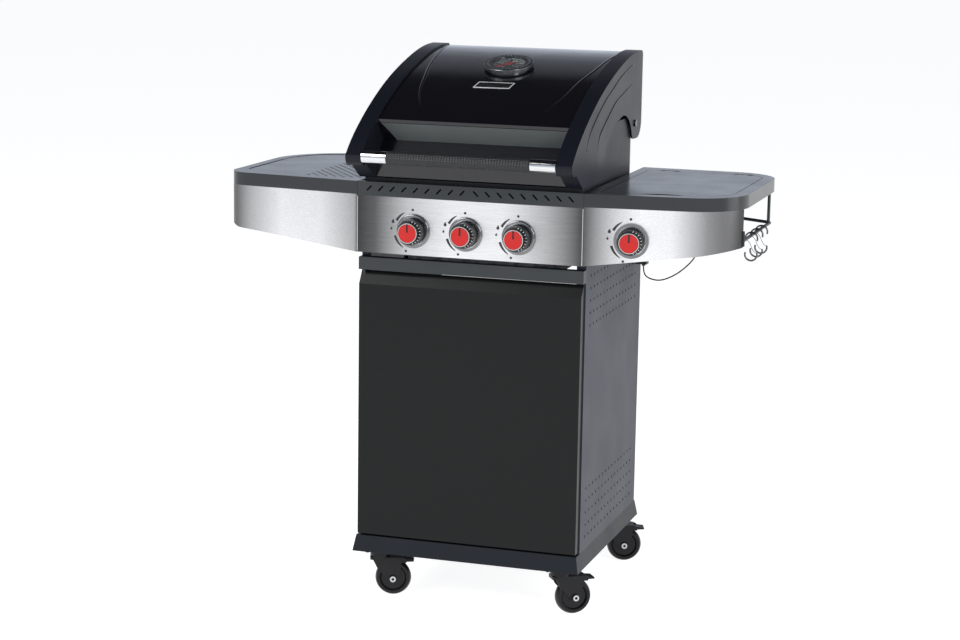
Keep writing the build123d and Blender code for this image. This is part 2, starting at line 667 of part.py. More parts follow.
# --- tool rail and its three hooks --------------------------------------------------------------
with BuildPart() as tool_rail:
    with BuildLine() as rail_path:
        FilletPolyline((RAIL_X, FASCIA_END_Y, RAIL_Z), (RAIL_X, 392, RAIL_Z), (440, 446, RAIL_Z),
                       (440, 446, SHELF_TOP - SHEET), radius=14)
    with BuildSketch(Plane(origin=(RAIL_X, FASCIA_END_Y, RAIL_Z), z_dir=(0, 1, 0))):
        Circle(RAIL_RADIUS)
    sweep()
    # post up to the shelf, a little thinner than the rail that it is welded to
    rod((RAIL_X, 372, RAIL_Z), (RAIL_X, 372, SHELF_TOP - SHEET), RAIL_RADIUS - 0.2)
save(tool_rail.part, "tool_rail")


def build_hook(number, y):
    """An S hook that hangs on the rail: two open loops of round wire."""
    loop = 12.5
    wire = 1.9
    # the top of the upper loop passes just over the rail
    top = RAIL_Z + RAIL_RADIUS + 0.3 + wire
    upper = top - loop
    lower = upper - 2 * loop - 8
    front = Plane(origin=(RAIL_X, y, 0), x_dir=(1, 0, 0), z_dir=(0, -1, 0))

    def on_loop(centre, angle):
        turn = math.radians(angle)
        return loop * math.cos(turn), centre + loop * math.sin(turn)

    with BuildPart() as hook:
        with BuildLine(front) as path:
            ThreePointArc(on_loop(upper, -20), on_loop(upper, 90), on_loop(upper, 200))
            slant = (math.sin(math.radians(20)), -math.cos(math.radians(20)))
            Spline(on_loop(upper, 200), on_loop(lower, 20), tangents=(slant, slant))
            ThreePointArc(on_loop(lower, 20), on_loop(lower, -90), on_loop(lower, -200))
        with BuildSketch(Plane(origin=path.wire() @ 0, z_dir=path.wire() % 0)):
            Circle(wire)
        sweep()
    save(hook.part, f"s_hook_{number}")


for hook_number, hook_y in enumerate(HOOK_Y, start=1):
    build_hook(hook_number, hook_y)

# --- igniter lead -------------------------------------------------------------------------------
LEAD_RADIUS = 1.5
LEAD_ROUTE = [
    (255, 440, 672), (255, 440, 656), (267, 437, 645), (294, 431, 642), (322, 423, 654),
    (348, 413, 672), (376, 395, 700), (396, 368, 733), (404, 338, 770), (402, 316, 808),
    (402, 316, 846),
]

with BuildPart() as lead_socket:
    block((CABINET_HALF, 264), (430, 450), (676, 690))
    rod((255, 440, 676), (255, 440, 672), 4)
    rod((246, 430, 683), (246, 428, 683), 3)
save(lead_socket.part, "lead_socket")


def lead_radii(route):
    """The largest arc that fits each corner of a route, as 0.45 of the shorter run beside it."""
    radii = []
    corners = [Vector(*point) for point in route]
    for before, corner, after in zip(corners, corners[1:], corners[2:]):
        into = corner - before
        out = after - corner
        turn = math.radians(into.get_angle(out))
        radii.append(0.45 * min(into.length, out.length) / math.tan(turn / 2))
    return radii


with BuildPart() as igniter_lead:
    with BuildLine() as lead_path:
        FilletPolyline(*LEAD_ROUTE, radius=lead_radii(LEAD_ROUTE))
    with BuildSketch(Plane(origin=lead_path.wire() @ 0, z_dir=lead_path.wire() % 0)):
        Circle(LEAD_RADIUS)
    sweep()
save(igniter_lead.part, "igniter_lead")
print("lead radii", [round(radius, 1) for radius in lead_radii(LEAD_ROUTE)])
print("lead length", round(lead_path.wire().length, 1), "volume ratio",
      round(igniter_lead.part.volume / (math.pi * LEAD_RADIUS ** 2 * lead_path.wire().length), 4))

# --- hood ---------------------------------------------------------------------------------------
# side view of the rims' outer edge, (y, z), from the nose by the handle to the rear corner
HOOD_PROFILE = [
    (-90, 945), (-64, 968), (-20, 998), (40, 1031), (110, 1063), (190, 1092), (270, 1114),
    (345, 1130), (405, 1137), (446, 1138),
]
HOOD_REAR = 458.0
HOOD_BOTTOM = 892.0
SHEET_EDGE_Y = 4.0              # the curved sheet stops here, above the handle recess
RECESS = [(4, 1003.5), (37, 966), (-4, 926), (-4, 894), (6, 894)]
THERMOMETER_Y = 248.0


def below_profile(depth):
    """Points of the hood profile moved inwards by the depth."""
    return parallel(HOOD_PROFILE, depth)


def rear_corner(depth):
    """Upper and lower end of the rounded rear corner, moved inwards by the depth."""
    return (446, 1138 - depth), (HOOD_REAR - depth, 1126)


def hood_sheet_outline(outer, inner):
    """Side view of the hood's shell between two depths below the rims, open at the front edge."""
    outer_points = below_profile(outer)
    inner_points = below_profile(inner)
    for points, depth in ((outer_points, outer), (inner_points, inner)):
        top, corner = rear_corner(depth)
        points[-1] = top
        reach = (12 - depth) * math.sin(math.pi / 4)
        middle = (446 + reach, 1126 + reach)
        Spline(*points)
        ThreePointArc(top, middle, corner)
        Line(corner, (HOOD_REAR - depth, 992))
    Line(outer_points[0], inner_points[0])
    Line((HOOD_REAR - outer, 992), (HOOD_REAR - inner, 992))


def build_hood_cap():
    """The right end cap: side plate with hinge ear, front rim, and the cheek beside the recess."""
    with BuildSketch(Plane.YZ.offset(HOOD_HALF - RIM_THICK)) as side:
        with BuildLine():
            Spline(*HOOD_PROFILE)
            ThreePointArc((446, 1138), (454.5, 1134.5), (HOOD_REAR, 1126))
            Line((HOOD_REAR, 1126), (HOOD_REAR, 988))
            ThreePointArc((HOOD_REAR, 988), (448, 963), (420, 952))
            Line((420, 952), (396, 952))
            ThreePointArc((396, 952), (383, 957), (376, 968))
            Line((376, 968), (365, 984))
            ThreePointArc((365, 984), (322, 1008), (272, 1004))
            ThreePointArc((272, 1004), (180, 968), (136, HOOD_BOTTOM))
            Polyline((136, HOOD_BOTTOM), (-8, HOOD_BOTTOM), (-62, 926))
            ThreePointArc((-62, 926), (-84, 927), (-90, 945))
        make_face()
        with Locations((HINGE_Y, HINGE_Z)):
            Circle(4 + RUNNING, mode=Mode.SUBTRACT)
    extrude(side.sketch, amount=RIM_THICK)
    # rim band and rear band
    with BuildSketch(Plane.YZ.offset(RIM_INNER)) as band:
        with BuildLine():
            hood_sheet_outline(0, RIM_THICK)
        make_face()
    extrude(band.sketch, amount=HOOD_HALF - RIM_INNER)
    # nose and slanted underside
    with BuildSketch(Plane.YZ.offset(RIM_INNER)) as under:
        with BuildLine():
            ThreePointArc((-90, 945), (-84, 927), (-62, 926))
            Polyline((-62, 926), (-8, HOOD_BOTTOM), (10, HOOD_BOTTOM), (10, HOOD_BOTTOM + 3),
                     (-7, HOOD_BOTTOM + 3), (-61, 929.5))
            ThreePointArc((-61, 929.5), (-80, 931), (-86, 942))
            Line((-86, 942), (-90, 945))
        make_face()
    extrude(under.sketch, amount=HOOD_HALF - RIM_INNER)
    # cheek beside the handle recess
    with BuildSketch(Plane.YZ.offset(RIM_INNER)) as cheek:
        with BuildLine():
            Spline(*HOOD_PROFILE[:3])
            Polyline((-20, 998), (3.5, 1009), (3.5, 1001), (44, 966), (4, 924), (4, HOOD_BOTTOM),
                     (-8, HOOD_BOTTOM), (-62, 926))
            ThreePointArc((-62, 926), (-84, 927), (-90, 945))
        make_face()
    extrude(cheek.sketch, amount=3)


with BuildPart() as lid_cap_right:
    build_hood_cap()
save(lid_cap_right.part, "lid_cap_right")

with BuildPart() as lid_cap_left:
    mirror(lid_cap_right.part, about=Plane.YZ)
save(lid_cap_left.part, "lid_cap_left")

with BuildPart() as lid_skin:
    skin_half = HOOD_HALF - RIM_THICK - 0.5
    with BuildSketch(Plane.YZ.offset(-skin_half)):
        with BuildLine():
            hood_sheet_outline(RIM_THICK, RIM_THICK + SHEET)
        make_face()
    extrude(amount=2 * skin_half)
    # the curved sheet ends above the recess
    block((-skin_half, skin_half), (-120, SHEET_EDGE_Y), (900, 1100), Mode.SUBTRACT)
    # folded recess and lower lip between the cheeks
    with BuildSketch(Plane.YZ.offset(-RIM_INNER)):
        with BuildLine():
            sheet_outline([(SHEET_EDGE_Y, 1010), *RECESS], -SHEET)
        make_face()
    extrude(amount=2 * RIM_INNER)
save(lid_skin.part, "lid_skin")

with BuildPart() as handle_tube:
    handle_ends = (-RIM_INNER, RIM_INNER)
    rod((handle_ends[0], HANDLE_Y, HANDLE_Z), (handle_ends[1], HANDLE_Y, HANDLE_Z), 11)
    for side in (-1, 1):
        rod((side * RIM_INNER, HANDLE_Y, HANDLE_Z), (side * 150, HANDLE_Y, HANDLE_Z), HANDLE_RADIUS - 1)
    rod((handle_ends[0], HANDLE_Y, HANDLE_Z), (handle_ends[1], HANDLE_Y, HANDLE_Z), 9, Mode.SUBTRACT)
save(handle_tube.part, "handle_tube")

with BuildPart() as handle_grip:
    rod((-150, HANDLE_Y, HANDLE_Z), (150, HANDLE_Y, HANDLE_Z), HANDLE_RADIUS)
    rod((-150, HANDLE_Y, HANDLE_Z), (150, HANDLE_Y, HANDLE_Z), 11, Mode.SUBTRACT)
save(handle_grip.part, "handle_grip")

# thermometer: a short round housing, a wide bezel, and a needle over the dial
THERMOMETER_SLOPE = math.radians(14.5)
thermometer_plane = Plane(origin=(0, THERMOMETER_Y, 1104.5), x_dir=(1, 0, 0),
                          z_dir=(0, -math.sin(THERMOMETER_SLOPE), math.cos(THERMOMETER_SLOPE)))

BEZEL_BOTTOM = 4.5              # distances from the hood sheet
BEZEL_TOP = 12.5
DIAL = 7.5

with BuildPart() as thermometer_case:
    with BuildSketch(thermometer_plane.offset(-1.5)):
        Circle(45)
    extrude(amount=BEZEL_BOTTOM + 1.5)
    with BuildSketch(thermometer_plane.offset(BEZEL_BOTTOM)):
        Circle(52)
    extrude(amount=BEZEL_TOP - BEZEL_BOTTOM)
    fillet(thermometer_case.faces().sort_by(lambda f: thermometer_plane.to_local_coords(f.center()).Z)[-1]
           .edges(), 2.5)
    with BuildSketch(thermometer_plane.offset(DIAL)):
        Circle(36)
    extrude(amount=BEZEL_TOP, mode=Mode.SUBTRACT)
    with BuildSketch(thermometer_plane.offset(DIAL)):
        Circle(2)
    extrude(amount=2.5)
    # its foot follows the curved sheet
    add(lid_skin.part, mode=Mode.SUBTRACT)
save(thermometer_case.part, "thermometer_case")

with BuildPart() as thermometer_needle:
    with BuildSketch(thermometer_plane.offset(DIAL + 1)):
        # the cold needle points down to the left
        with BuildLine(Rot(Z=135)):
            Polyline((-3, -12), (3, -12), (0.8, 30), (-0.8, 30), close=True)
        make_face()
        Circle(5)
        Circle(2 + RUNNING, mode=Mode.SUBTRACT)
    extrude(amount=1.2)
save(thermometer_needle.part, "thermometer_needle")

with BuildPart() as lid_hinge_bolts:
    for side in (-1, 1):
        rod((side * 219, HINGE_Y, HINGE_Z), (side * HOOD_HALF, HINGE_Y, HINGE_Z), 4)
        rod((side * HOOD_HALF, HINGE_Y, HINGE_Z), (side * (HOOD_HALF + 3), HINGE_Y, HINGE_Z), 7.5)
        rod((side * 218, HINGE_Y, HINGE_Z), (side * 223, HINGE_Y, HINGE_Z), 7)
save(lid_hinge_bolts.part, "lid_hinge_bolts")

# --- drip tray ----------------------------------------------------------------------------------
with BuildPart() as drip_tray:
    block((-157, 157), (70, 400), (704.5, 726))
    block((-155.5, 155.5), (71.5, 398.5), (706, 726), Mode.SUBTRACT)
    # pull at the rear
    block((-30, 30), (400, 412), (716, 718))
    block((-30, 30), (410, 412), (706, 718))
save(drip_tray.part, "drip_tray")
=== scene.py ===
import json
import math
import bpy
from mathutils import Matrix, Vector
from mathutils.bvhtree import BVHTree


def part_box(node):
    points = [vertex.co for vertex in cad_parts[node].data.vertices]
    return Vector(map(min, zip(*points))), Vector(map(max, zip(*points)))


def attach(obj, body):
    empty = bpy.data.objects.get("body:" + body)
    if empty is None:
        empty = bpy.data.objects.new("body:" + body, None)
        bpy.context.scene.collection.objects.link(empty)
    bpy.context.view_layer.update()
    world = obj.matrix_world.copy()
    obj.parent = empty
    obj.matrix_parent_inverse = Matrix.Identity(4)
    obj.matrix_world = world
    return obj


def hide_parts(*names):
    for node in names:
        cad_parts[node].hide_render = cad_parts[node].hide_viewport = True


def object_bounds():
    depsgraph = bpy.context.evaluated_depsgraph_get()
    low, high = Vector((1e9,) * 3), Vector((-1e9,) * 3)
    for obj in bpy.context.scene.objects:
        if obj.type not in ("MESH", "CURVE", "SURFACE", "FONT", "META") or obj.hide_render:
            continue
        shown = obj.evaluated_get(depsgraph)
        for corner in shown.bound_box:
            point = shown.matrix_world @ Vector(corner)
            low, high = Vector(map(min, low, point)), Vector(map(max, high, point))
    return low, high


# Looks of a gas barbecue grill: glossy black hood, grey powder-coated cart, brushed steel front and red
# control knobs. Metres, +Z up, the cook stands on the -Y side.

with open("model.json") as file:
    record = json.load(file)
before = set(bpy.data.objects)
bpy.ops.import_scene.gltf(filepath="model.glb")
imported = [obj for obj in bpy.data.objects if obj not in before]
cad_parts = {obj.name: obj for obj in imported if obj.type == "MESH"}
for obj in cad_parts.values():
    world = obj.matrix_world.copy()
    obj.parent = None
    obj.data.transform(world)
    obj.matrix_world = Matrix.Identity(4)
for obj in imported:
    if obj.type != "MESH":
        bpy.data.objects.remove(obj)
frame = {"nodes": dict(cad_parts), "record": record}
cad_box = [list(corner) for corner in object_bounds()]
nodes = frame["nodes"]
joints = {joint["name"]: joint for joint in frame["record"]["behaviour"]["joints"]}
MM = 0.001
CASTORS = ("front_left", "front_right", "rear_left", "rear_right")


# --- materials ----------------------------------------------------------------------------------
class Finish:
    """A material that is built up from a Principled BSDF and a chain of bumps."""

    def __init__(self, name, colour, roughness, metallic=0.0):
        self.material = bpy.data.materials.new(name)
        self.material.use_nodes = True
        self.tree = self.material.node_tree
        self.shader = self.tree.nodes["Principled BSDF"]
        self.set("Base Color", (*colour, 1.0))
        self.set("Roughness", roughness)
        self.set("Metallic", metallic)
        self.colour = colour
        self.roughness = roughness
        self.place = self.node("ShaderNodeTexCoord").outputs["Object"]
        self.bump = None

    def set(self, socket, value):
        self.shader.inputs[socket].default_value = value

    def node(self, kind, links=(), **settings):
        """A new node with its settings; links pairs an input with the output that feeds it."""
        made = self.tree.nodes.new(kind)
        for key, value in settings.items():
            setattr(made, key, value)
        for socket, source in links:
            self.feed(made.inputs[socket], source)
        return made

    def feed(self, socket, source):
        """Puts a number, a colour or another node's output into a socket."""
        if isinstance(source, bpy.types.NodeSocket):
            self.tree.links.new(source, socket)
        else:
            socket.default_value = source

    def maths(self, operation, *values):
        made = self.node("ShaderNodeMath", enumerate(values), operation=operation)
        return made.outputs[0]

    def along(self, axis):
        """One coordinate of the surface point, in metres."""
        parts = self.node("ShaderNodeSeparateXYZ", [(0, self.place)])
        return parts.outputs["XYZ".index(axis)]

    def noise(self, scale, stretch=(1, 1, 1), detail=2.0):
        """Noise with that many cells per metre, stretched along the axes."""
        mapping = self.node("ShaderNodeMapping", [("Vector", self.place), ("Scale", stretch)])
        return self.node("ShaderNodeTexNoise", [
            ("Vector", mapping.outputs[0]), ("Scale", scale), ("Detail", detail),
        ]).outputs["Fac"]

    def spread(self, source, low, high, start=0.0, end=1.0):
        """The source, from start to end, mapped to low to high."""
        return self.node("ShaderNodeMapRange", [
            ("Value", source), ("From Min", start), ("From Max", end), ("To Min", low), ("To Max", high),
        ]).outputs[0]

    def vary_roughness(self, source, amount):
        rough = self.spread(source, self.roughness - amount, self.roughness + amount, 0.3, 0.7)
        self.feed(self.shader.inputs["Roughness"], rough)

    def vary_colour(self, source, darker, lighter):
        """Colour from darker to lighter times the base colour, following the source."""
        blend = self.node("ShaderNodeMix", data_type="RGBA")
        self.feed(blend.inputs["Factor"], source)
        self.feed(blend.inputs["A"], (*[part * darker for part in self.colour], 1.0))
        self.feed(blend.inputs["B"], (*[part * lighter for part in self.colour], 1.0))
        self.feed(self.shader.inputs["Base Color"], blend.outputs["Result"])

    def raise_by(self, height, distance, strength=1.0):
        """Adds a bump of that height in metres on top of the earlier ones."""
        made = self.node("ShaderNodeBump", [
            ("Height", height), ("Distance", distance), ("Strength", strength),
        ])
        if self.bump:
            self.tree.links.new(self.bump, made.inputs["Normal"])
        self.bump = made.outputs[0]
        self.feed(self.shader.inputs["Normal"], self.bump)


def powder_coat(name, colour, roughness, gloss=0.5):
    """Baked powder paint: a fine pebbled skin and faint cloudiness."""
    finish = Finish(name, colour, roughness)
    finish.set("Specular IOR Level", gloss)
    finish.raise_by(finish.noise(900, detail=1.0), 0.00012, 0.35)
    clouds = finish.noise(9)
    finish.vary_roughness(clouds, 0.03)
    finish.vary_colour(clouds, 0.95, 1.05)
    return finish


def gloss_enamel():
    """Deep black enamel with a clear gloss and a trace of orange peel."""
    finish = Finish("gloss_black_enamel", (0.004, 0.004, 0.006), 0.16)
    finish.set("Coat Weight", 0.6)
    finish.set("Coat Roughness", 0.06)
    finish.raise_by(finish.noise(160, detail=1.0), 0.00006, 0.12)
    finish.vary_roughness(finish.noise(6), 0.04)
    return finish


# painted reflection: how light the steel's colour is painted at distances in metres: inwards from the left
# end of the left fascia, inwards from the left end of the control panel, and inwards from the right end of
# the right fascia
LEFT_FASCIA_PAINTED_REFLECTION = ((0.0, 0.05), (0.022, 0.15), (0.06, 0.42), (0.13, 0.74), (0.22, 0.7), (0.3, 0.36))
PANEL_PAINTED_REFLECTION = (
    (0.001, 0.05), (0.04, 0.11), (0.11, 0.5), (0.2, 0.74), (0.31, 0.74), (0.4, 0.42), (0.476, 0.07),
)
RIGHT_FASCIA_PAINTED_REFLECTION = ((0.298, 0.14), (0.24, 0.6), (0.19, 0.86), (0.13, 0.8), (0.06, 0.26), (0.0, 0.04))
STEEL_GRAIN = (0.7, 70, 70)


def front_steel():
    """Brushed stainless front plates with a painted reflection: bright in each plate's middle, darker at its
    ends.
    """
    finish = Finish("front_stainless", (0.72, 0.72, 0.72), 0.3, metallic=1.0)
    scratches = finish.noise(40, STEEL_GRAIN, detail=6.0)
    finish.vary_roughness(scratches, 0.09)
    finish.raise_by(scratches, 0.00004, 0.5)
    finish.set("Anisotropic", 0.6)
    left_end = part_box("left_fascia")[0][0]
    right_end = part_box("right_fascia")[1][0]
    panel_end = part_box("control_panel")[0][0]
    reflection_stops = [(left_end + reach, shade) for reach, shade in LEFT_FASCIA_PAINTED_REFLECTION]
    reflection_stops += [(panel_end + reach, shade) for reach, shade in PANEL_PAINTED_REFLECTION]
    reflection_stops += [(right_end - reach, shade) for reach, shade in RIGHT_FASCIA_PAINTED_REFLECTION]
    across = finish.spread(finish.along("X"), 0.0, 1.0, left_end, right_end)
    # the ramp paints a reflection into the steel's colour: bright mid-plate, dark towards the plate ends
    ramp = finish.node("ShaderNodeValToRGB", [(0, across)])
    elements = ramp.color_ramp.elements
    elements.remove(elements[1])
    for index, (x, shade) in enumerate(reflection_stops):
        position = (x - left_end) / (right_end - left_end)
        element = elements[0] if index == 0 else elements.new(position)
        element.position = position
        element.color = (shade, shade, shade * 1.01, 1.0)
    grain = finish.spread(finish.noise(22, STEEL_GRAIN, detail=3.0), 0.88, 1.08, 0.3, 0.7)
    scaled = finish.node("ShaderNodeVectorMath", [(0, ramp.outputs[0]), (1, grain)], operation="MULTIPLY")
    finish.feed(finish.shader.inputs["Base Color"], scaled.outputs[0])
    return finish


def polished(name, colour, roughness):
    """Bright plating with faint wipe marks."""
    finish = Finish(name, colour, roughness, metallic=1.0)
    finish.vary_roughness(finish.noise(60, (1, 1, 3)), roughness * 0.6)
    finish.raise_by(finish.noise(300), 0.00002, 0.3)
    return finish


def plastic(name, colour, roughness, grain, gloss=0.5):
    """Moulded plastic; the grain is its spark-eroded texture in metres."""
    finish = Finish(name, colour, roughness)
    finish.set("Specular IOR Level", gloss)
    finish.raise_by(finish.noise(1400, detail=1.0), grain, 0.5)
    finish.vary_roughness(finish.noise(25), 0.06)
    finish.vary_colour(finish.noise(30), 0.88, 1.08)
    return finish


def cast_iron():
    """Sand-cast iron under matt enamel."""
    finish = Finish("cast_iron", (0.02, 0.02, 0.021), 0.55)
    finish.raise_by(finish.noise(350, detail=4.0), 0.0006, 0.6)
    finish.raise_by(finish.noise(70), 0.0008, 0.4)
    finish.vary_roughness(finish.noise(30), 0.1)
    return finish


def heated_steel():
    """Burner steel with straw and blue heat tints."""
    finish = Finish("heated_steel", (0.45, 0.43, 0.4), 0.38, metallic=1.0)
    ramp = finish.node("ShaderNodeValToRGB", [(0, finish.noise(14, (1, 1.6, 1), detail=3.0))])
    ramp.color_ramp.elements[0].color = (0.34, 0.36, 0.42, 1)
    ramp.color_ramp.elements[1].color = (0.52, 0.47, 0.4, 1)
    finish.feed(finish.shader.inputs["Base Color"], ramp.outputs[0])
    finish.raise_by(finish.noise(500), 0.00005, 0.4)
    return finish


def galvanised():
    """Zinc-coated sheet with flat spangles."""
    finish = Finish("galvanised", (0.5, 0.51, 0.53), 0.42, metallic=1.0)
    spangles = finish.node("ShaderNodeTexVoronoi", [("Vector", finish.place), ("Scale", 90.0)])
    grey = finish.node("ShaderNodeRGBToBW", [(0, spangles.outputs["Color"])]).outputs[0]
    finish.vary_colour(grey, 0.75, 1.15)
    finish.vary_roughness(grey, 0.1)
    return finish


def ink(name, colour):
    """Printed paint, slightly uneven."""
    finish = Finish(name, colour, 0.45)
    finish.vary_colour(finish.noise(400), 0.85, 1.15)
    return finish


def clear_glass():
    """Thin dial glass with a faint green tint."""
    finish = Finish("dial_glass", (0.96, 0.98, 0.97), 0.03)
    finish.set("Transmission Weight", 1.0)
    finish.set("IOR", 1.2)
    finish.vary_roughness(finish.noise(20), 0.01)
    return finish


ENAMEL = gloss_enamel()
CAP_COAT = powder_coat("hood_cap_coat", (0.007, 0.0085, 0.013), 0.34, 0.16)
FIREBOX_COAT = powder_coat("firebox_coat", (0.014, 0.016, 0.019), 0.42, 0.25)
RECESS_COAT = powder_coat("recess_coat", (0.085, 0.096, 0.094), 0.38)
BLACK_COAT = powder_coat("black_coat", (0.018, 0.022, 0.023), 0.4, 0.4)
SHELF_COAT = powder_coat("shelf_coat", (0.012, 0.0145, 0.017), 0.22, 0.5)
SIDE_COAT = powder_coat("side_coat", (0.034, 0.039, 0.052), 0.42, 0.15)
BASE_COAT = powder_coat("base_coat", (0.009, 0.011, 0.015), 0.4, 0.18)
DOOR_COAT = powder_coat("door_coat", (0.0065, 0.0072, 0.0072), 0.3, 0.16)
FRONT_STEEL = front_steel()
CHROME = polished("chrome", (0.62, 0.63, 0.64), 0.09)
RING_CHROME = polished("ring_chrome", (0.2, 0.205, 0.21), 0.14)
WIRE_CHROME = polished("hook_chrome", (0.13, 0.135, 0.14), 0.26)
BEZEL_METAL = polished("dark_bezel", (0.12, 0.13, 0.135), 0.34)
CAST_ALLOY = polished("cast_alloy", (0.55, 0.55, 0.56), 0.4)
SCREW_ZINC = polished("screw_zinc", (0.5, 0.51, 0.52), 0.24)
GRIP_RUBBER = plastic("woven_grip", (0.014, 0.015, 0.016), 0.42, 0.0001, 0.35)
KNOB_BLACK = plastic("knob_black", (0.012, 0.012, 0.012), 0.24, 0.00003)
KNOB_RED = plastic("knob_red", (0.44, 0.016, 0.014), 0.38, 0.00003, 0.25)
WHEEL_BLACK = plastic("wheel_black", (0.005, 0.005, 0.006), 0.28, 0.00004, 0.25)
CASTOR_METAL = powder_coat("castor_metal", (0.006, 0.006, 0.007), 0.36, 0.25)
LEAD_SHEATH = plastic("lead_sheath", (0.008, 0.008, 0.008), 0.4, 0.00003)
IRON = cast_iron()
BURNER_STEEL = heated_steel()
ZINC = galvanised()
# black ink for the printed marks, also used as painted shade in the gaps around the knobs
BLACK_INK_AND_PAINTED_SHADE = ink("black_ink_and_painted_shade", (0.01, 0.01, 0.011))
# white ink for the print, also used as a painted reflection on the badge rim
WHITE_INK_AND_PAINTED_REFLECTION = ink("white_ink_and_painted_reflection", (0.75, 0.75, 0.75))
RED_INK = ink("red_ink", (0.6, 0.03, 0.02))
DIAL_GREY = ink("dial_grey", (0.06, 0.065, 0.065))
GLASS = clear_glass()

NODE_FINISHES = {
    ENAMEL: ["lid_skin"],
    CAP_COAT: ["lid_cap_left", "lid_cap_right"],
    FIREBOX_COAT: ["firebox"],
    BLACK_COAT: ["vent_strip", "front_crossbar", "tool_rail", "hinge_brackets", "lead_socket"],
    SHELF_COAT: ["left_shelf", "right_shelf", "side_burner_lid"],
    SIDE_COAT: ["left_side_panel", "right_side_panel", "rear_panel", "rear_crossbar"],
    BASE_COAT: ["base_tray"],
    DOOR_COAT: ["door"],
    FRONT_STEEL: ["control_panel", "left_fascia", "right_fascia"],
    CHROME: ["handle_tube", "warming_rack"],
    RING_CHROME: ["knob_bezels"],
    WIRE_CHROME: ["s_hook_1", "s_hook_2", "s_hook_3", "lid_hinge_bolts"],
    BEZEL_METAL: ["thermometer_case"],
    CAST_ALLOY: ["gas_manifold"] + [f"valve_stem_{number}" for number in range(1, 5)],
    KNOB_BLACK: [f"knob_{number}" for number in range(1, 5)],
    WHEEL_BLACK: [f"castor_wheel_{castor}" for castor in CASTORS],
    CASTOR_METAL: ["castor_plates"] + [
        f"castor_{part}_{castor}" for part in ("fork", "brake") for castor in CASTORS
    ],
    IRON: ["cooking_grate", "pot_support"],
    BURNER_STEEL: ["main_burners", "flame_tamers", "side_burner"],
    ZINC: ["drip_tray"],
    RED_INK: ["thermometer_needle"],
}
for node_finish, names in NODE_FINISHES.items():
    for name in names:
        slots = nodes[name].data.materials
        slots.clear()
        slots.append(node_finish.material)


# --- making pieces ------------------------------------------------------------------------------
def add_piece(name, points, faces, finish, body, smooth=False):
    """A mesh piece in the frame's coordinates that moves with a CAD body."""
    mesh = bpy.data.meshes.new(name)
    mesh.from_pydata([tuple(point) for point in points], [], faces)
    mesh.materials.append(finish.material)
    mesh.update()
    if smooth:
        mesh.shade_smooth()
    piece = bpy.data.objects.new(name, mesh)
    bpy.context.scene.collection.objects.link(piece)
    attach(piece, body)
    return piece


def facing(origin, normal, up=(0, 0, 1)):
    """A matrix whose Z looks along the normal and whose Y leans towards up; its units are millimetres."""
    out = Vector(normal).normalized()
    across = Vector(up).cross(out).normalized()
    turn = Matrix((across, out.cross(across), out)).transposed().to_4x4()
    return Matrix.Translation(origin) @ turn @ Matrix.Scale(MM, 4)


def circle(radius, centre=(0, 0), count=48):
    """Corners of a circle, anticlockwise."""
    turns = [2 * math.pi * step / count for step in range(count)]
    return [(centre[0] + radius * math.cos(turn), centre[1] + radius * math.sin(turn)) for turn in turns]


def plates(name, outlines, place, low, high, finish, body):
    """Flat plates with the given outlines, from low to high over the place's plane, as one piece."""
    points, faces = [], []
    for outline in outlines:
        first, count = len(points), len(outline)
        for height in (low, high):
            points += [place @ Vector((u, v, height)) for u, v in outline]
        faces.append([first + index for index in reversed(range(count))])
        faces.append([first + count + index for index in range(count)])
        for index in range(count):
            after = (index + 1) % count
            faces.append((first + index, first + after, first + count + after, first + count + index))
    return add_piece(name, points, faces, finish, body)


def ring(name, outer, inner, place, low, high, finish, body):
    """A flat ring between two outlines with as many corners each."""
    count = len(outer)
    loops = [(outer, low), (outer, high), (inner, high), (inner, low)]
    points = [place @ Vector((u, v, height)) for outline, height in loops for u, v in outline]
    faces = []
    for loop in range(4):
        for index in range(count):
            after = (index + 1) % count
            following = (loop + 1) % 4
            faces.append((loop * count + index, loop * count + after,
                          following * count + after, following * count + index))
    return add_piece(name, points, faces, finish, body)


def stroke(points, widths):
    """Outline of a painted line of changing width through the points."""
    left, right = [], []
    for index, point in enumerate(points):
        before = Vector(points[max(index - 1, 0)])
        after = Vector(points[min(index + 1, len(points) - 1)])
        side = (after - before).normalized().orthogonal() * widths[index] / 2
        left.append(tuple(Vector(point) + side))
        right.append(tuple(Vector(point) - side))
    return left + right[::-1]


def arc(radius, start, end, widths):
    """Outline of a painted arc between two angles in degrees."""
    last = len(widths) - 1
    angles = [math.radians(start + (end - start) * step / last) for step in range(last + 1)]
    return stroke([(radius * math.cos(angle), radius * math.sin(angle)) for angle in angles], widths)


def bead(name, stations, finish, body):
    """A low rounded ridge pressed into sheet. Each station is (point, normal, half width, height)."""
    section = ((-1.0, -0.8), (-1.0, 0.0), (-0.6, 0.6), (0.0, 1.0), (0.6, 0.6), (1.0, 0.0), (1.0, -0.8))
    points, faces = [], []
    for index, (point, normal, half_width, height) in enumerate(stations):
        before = stations[max(index - 1, 0)][0]
        after = stations[min(index + 1, len(stations) - 1)][0]
        side = (after - before).normalized().cross(normal)
        points += [point + side * half_width * across + normal * height * up for across, up in section]
    size = len(section)
    for index in range(len(stations) - 1):
        for corner in range(size):
            after = (corner + 1) % size
            faces.append((index * size + corner, (index + 1) * size + corner,
                          (index + 1) * size + after, index * size + after))
    faces.append(list(range(size)))
    faces.append([len(points) - 1 - corner for corner in range(size)])
    return add_piece(name, points, faces, finish, body, smooth=True)


